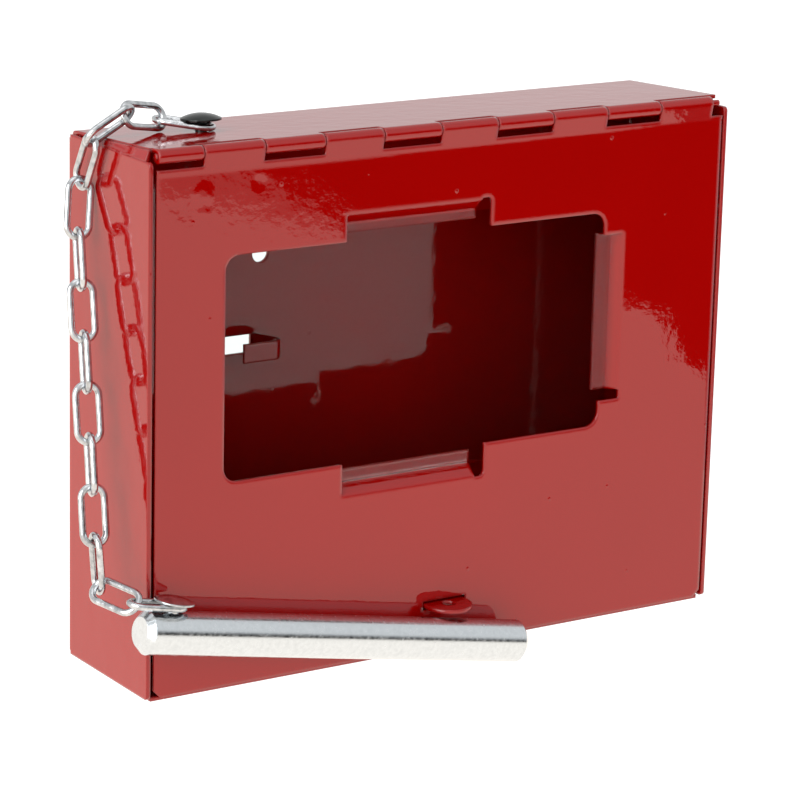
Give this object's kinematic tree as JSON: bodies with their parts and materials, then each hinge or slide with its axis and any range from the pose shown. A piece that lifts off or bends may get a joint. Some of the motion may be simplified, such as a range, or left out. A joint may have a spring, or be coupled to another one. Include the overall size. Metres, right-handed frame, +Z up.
{
  "type": "break glass key box",
  "caption": "Wall-mounted folded steel key box with a top-hinged door, a break pane in a window, and a striker rod on a chain",
  "frame": {"origin": "centre of the back face on the wall plane, midway between the two wall screw holes", "axes": "+X right seen from the front, -Y out of the wall through the door, +Z up"},
  "size_m": [0.1633, 0.0479, 0.1321],
  "materials": {
    "case_paint": "gloss red stoved enamel",
    "door_paint": "gloss red stoved enamel",
    "lug_paint": "gloss red stoved enamel",
    "pin_steel": "bright wire",
    "pane_glass": "clear",
    "rivet_steel": "zinc plated, bright",
    "chain_steel": "zinc plated, bright",
    "rod_steel": "zinc plated, bright"
  },
  "bodies": {
    "case": {"case_shell": "case_paint", "hinge_pin": "pin_steel", "seal_lug": "lug_paint", "anchor_rivet": "rivet_steel"},
    "door": {"door_panel": "door_paint"},
    "pane": {"glass_pane": "pane_glass"},
    "link_01": {"chain_link_01": "chain_steel"},
    "link_02": {"chain_link_02": "chain_steel"},
    "link_03": {"chain_link_03": "chain_steel"},
    "link_04": {"chain_link_04": "chain_steel"},
    "link_05": {"chain_link_05": "chain_steel"},
    "link_06": {"chain_link_06": "chain_steel"},
    "link_07": {"chain_link_07": "chain_steel"},
    "link_08": {"chain_link_08": "chain_steel"},
    "link_09": {"chain_link_09": "chain_steel"},
    "link_10": {"chain_link_10": "chain_steel"},
    "link_11": {"chain_link_11": "chain_steel"},
    "link_12": {"chain_link_12": "chain_steel"},
    "link_13": {"chain_link_13": "chain_steel"},
    "link_14": {"chain_link_14": "chain_steel"},
    "rod": {"hammer_rod": "rod_steel", "hammer_rivet": "rivet_steel"}
  },
  "joints": [
    {"name": "door_hinge", "type": "hinge", "parent": "case", "child": "door", "pos_m": [0, -0.0363, 0.0604], "axis": [-1, 0, 0], "range_deg": [0, 110]},
    {"name": "pane_slide", "type": "slide", "parent": "door", "child": "pane", "axis": [-1, 0, 0], "range_m": [0, 0.01]},
    {"name": "chain_swivel", "type": "hinge", "parent": "case", "child": "link_01", "pos_m": [-0.0529, -0.018, 0.0613], "axis": [0, 0.0574, 0.9984], "range_deg": [0, 12]},
    {"name": "link_02_turn", "type": "hinge", "parent": "link_01", "child": "link_02", "pos_m": [-0.05871, -0.01314, 0.06293], "axis": [0, 0.0574, 0.9984], "range_deg": [-12, 0]},
    {"name": "link_03_turn", "type": "hinge", "parent": "link_02", "child": "link_03", "pos_m": [-0.06996, -0.016, 0.06532], "axis": [0, 0, 1], "range_deg": [-3, 0]},
    {"name": "chain_swing", "type": "hinge", "parent": "link_03", "child": "link_04", "pos_m": [-0.07872, -0.01604, 0.05909], "axis": [-1, 0, 0], "range_deg": [0, 110]},
    {"name": "link_05_twist", "type": "hinge", "parent": "link_04", "child": "link_05", "pos_m": [-0.07914, -0.01252, 0.05092], "axis": [0, 0, 1], "range_deg": [-6, 0]},
    {"name": "link_06_twist", "type": "hinge", "parent": "link_05", "child": "link_06", "pos_m": [-0.08075, -0.01417, 0.04211], "axis": [0, 0, 1], "range_deg": [-12, 0]},
    {"name": "link_07_twist", "type": "hinge", "parent": "link_06", "child": "link_07", "pos_m": [-0.0814, -0.01688, 0.0297], "axis": [0, 0, 1], "range_deg": [-12, 0]},
    {"name": "link_08_twist", "type": "hinge", "parent": "link_07", "child": "link_08", "pos_m": [-0.08195, -0.01921, 0.01895], "axis": [0, 0, 1], "range_deg": [-12, 0]},
    {"name": "link_09_twist", "type": "hinge", "parent": "link_08", "child": "link_09", "pos_m": [-0.0825, -0.02155, 0.0082], "axis": [0, 0, 1], "range_deg": [-12, 0]},
    {"name": "link_10_twist", "type": "hinge", "parent": "link_09", "child": "link_10", "pos_m": [-0.08305, -0.02389, -0.00255], "axis": [0, 0, 1], "range_deg": [-12, 0]},
    {"name": "link_11_twist", "type": "hinge", "parent": "link_10", "child": "link_11", "pos_m": [-0.0836, -0.02622, -0.0133], "axis": [0, 0, 1], "range_deg": [-12, 0]},
    {"name": "link_12_twist", "type": "hinge", "parent": "link_11", "child": "link_12", "pos_m": [-0.08428, -0.02886, -0.02369], "axis": [0, 0, 1], "range_deg": [-12, 0]},
    {"name": "link_13_sway", "type": "hinge", "parent": "link_12", "child": "link_13", "pos_m": [-0.08446, -0.03281, -0.03408], "axis": [0, 1, 0], "range_deg": [0, 8]},
    {"name": "link_14_twist", "type": "hinge", "parent": "link_13", "child": "link_14", "pos_m": [-0.08051, -0.04271, -0.03483], "axis": [0, 0, 1], "range_deg": [-8, 0]},
    {"name": "rod_swivel", "type": "hinge", "parent": "link_14", "child": "rod", "pos_m": [-0.07306, -0.0431, -0.0373], "axis": [0.1822, 0, 0.9833], "range_deg": [-15, 0]}
  ],
  "couplings": [
    {"joint": "chain_swing", "follows": "door_hinge", "ratio": 1},
    {"joint": "link_02_turn", "follows": "chain_swivel", "ratio": -1}
  ]
}
